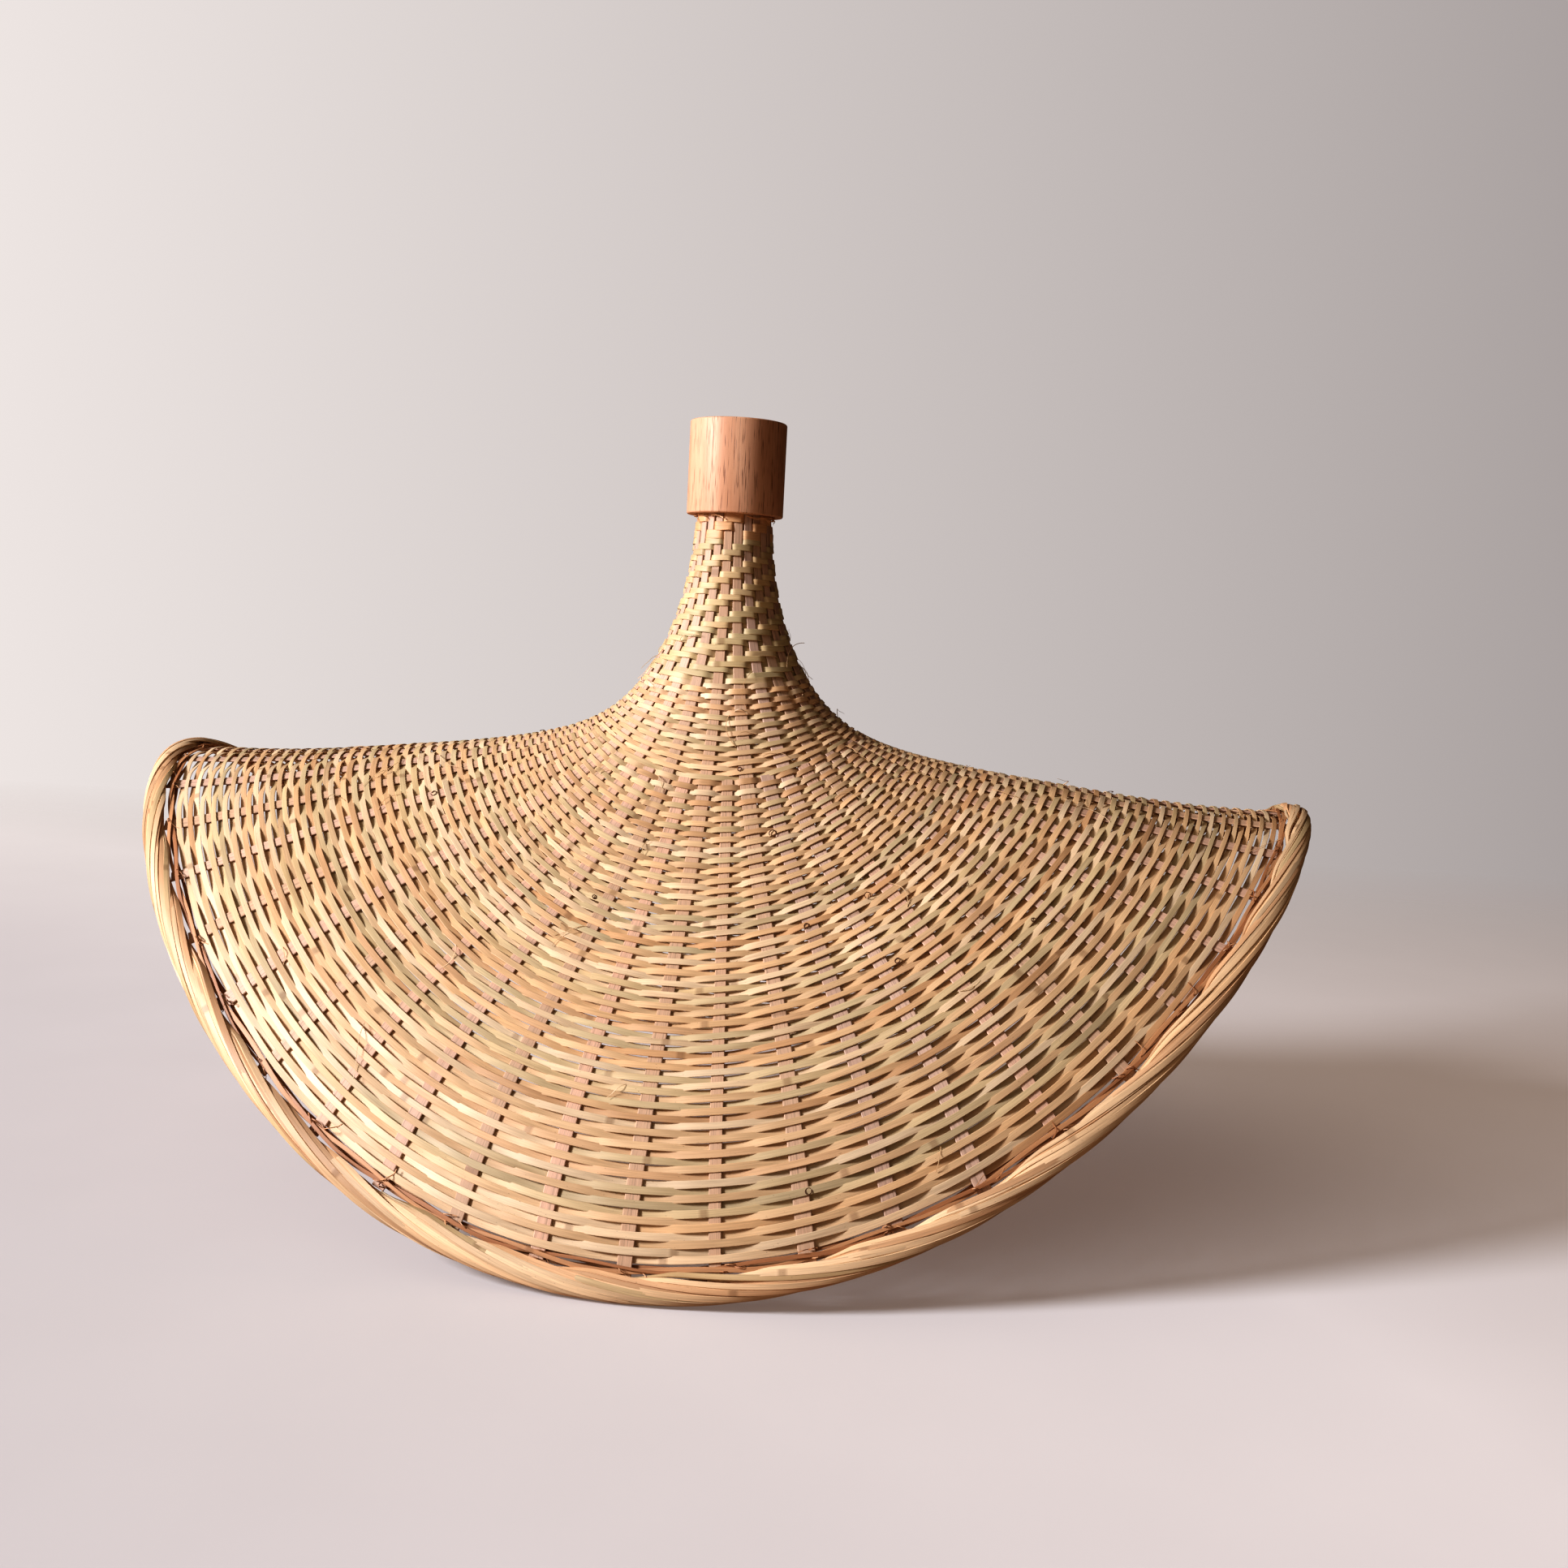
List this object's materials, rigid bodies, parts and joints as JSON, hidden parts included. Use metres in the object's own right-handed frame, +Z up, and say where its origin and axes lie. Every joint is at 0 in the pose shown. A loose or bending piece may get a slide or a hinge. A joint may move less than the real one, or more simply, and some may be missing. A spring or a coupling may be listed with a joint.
{
  "type": "woven bamboo pendant lampshade",
  "caption": "Saddle-shaped woven bamboo lampshade: a narrow woven neck under a turned wooden cap flares into a wide brim with raised wings and a rope-like rim.",
  "frame": {"origin": "on the table plane under the neck axis, level with the lowest point of the rim", "axes": "+Z up along the neck, wings along +X and -X, low front of the brim towards -Y"},
  "size_m": [0.566, 0.4072, 0.3597],
  "materials": {
    "cap_wood": "satin turned light hardwood with fine vertical pores",
    "weft_bamboo": "natural split bamboo, satin, straw yellow with greenish and brown rows",
    "stake_bamboo": "natural split bamboo, matt, pinkish tan",
    "border_bamboo": "natural bamboo strips, satin, pale straw with brown inner strips"
  },
  "bodies": {
    "root": {"wood_cap": "cap_wood", "neck_top_weft": "weft_bamboo", "neck_twill_weft": "weft_bamboo", "flare_weft": "weft_bamboo", "brim_weft_inner": "weft_bamboo", "brim_weft_middle": "weft_bamboo", "brim_weft_outer": "weft_bamboo", "main_stake_01": "stake_bamboo", "main_stake_02": "stake_bamboo", "main_stake_03": "stake_bamboo", "main_stake_04": "stake_bamboo", "main_stake_05": "stake_bamboo", "main_stake_06": "stake_bamboo", "main_stake_07": "stake_bamboo", "main_stake_08": "stake_bamboo", "main_stake_09": "stake_bamboo", "main_stake_10": "stake_bamboo", "main_stake_11": "stake_bamboo", "main_stake_12": "stake_bamboo", "main_stake_13": "stake_bamboo", "main_stake_14": "stake_bamboo", "main_stake_15": "stake_bamboo", "main_stake_16": "stake_bamboo", "main_stake_17": "stake_bamboo", "main_stake_18": "stake_bamboo", "main_stake_19": "stake_bamboo", "main_stake_20": "stake_bamboo", "main_stake_21": "stake_bamboo", "main_stake_22": "stake_bamboo", "main_stake_23": "stake_bamboo", "main_stake_24": "stake_bamboo", "added_stake_01": "stake_bamboo", "added_stake_02": "stake_bamboo", "added_stake_03": "stake_bamboo", "added_stake_04": "stake_bamboo", "added_stake_05": "stake_bamboo", "added_stake_06": "stake_bamboo", "added_stake_07": "stake_bamboo", "added_stake_08": "stake_bamboo", "added_stake_09": "stake_bamboo", "added_stake_10": "stake_bamboo", "added_stake_11": "stake_bamboo", "added_stake_12": "stake_bamboo", "added_stake_13": "stake_bamboo", "added_stake_14": "stake_bamboo", "added_stake_15": "stake_bamboo", "added_stake_16": "stake_bamboo", "added_stake_17": "stake_bamboo", "added_stake_18": "stake_bamboo", "added_stake_19": "stake_bamboo", "added_stake_20": "stake_bamboo", "added_stake_21": "stake_bamboo", "added_stake_22": "stake_bamboo", "added_stake_23": "stake_bamboo", "added_stake_24": "stake_bamboo", "rim_hoop": "border_bamboo", "border_strand_1": "border_bamboo", "border_strand_2": "border_bamboo", "border_strand_3": "border_bamboo", "border_strand_4": "border_bamboo"}
  },
  "joints": []
}
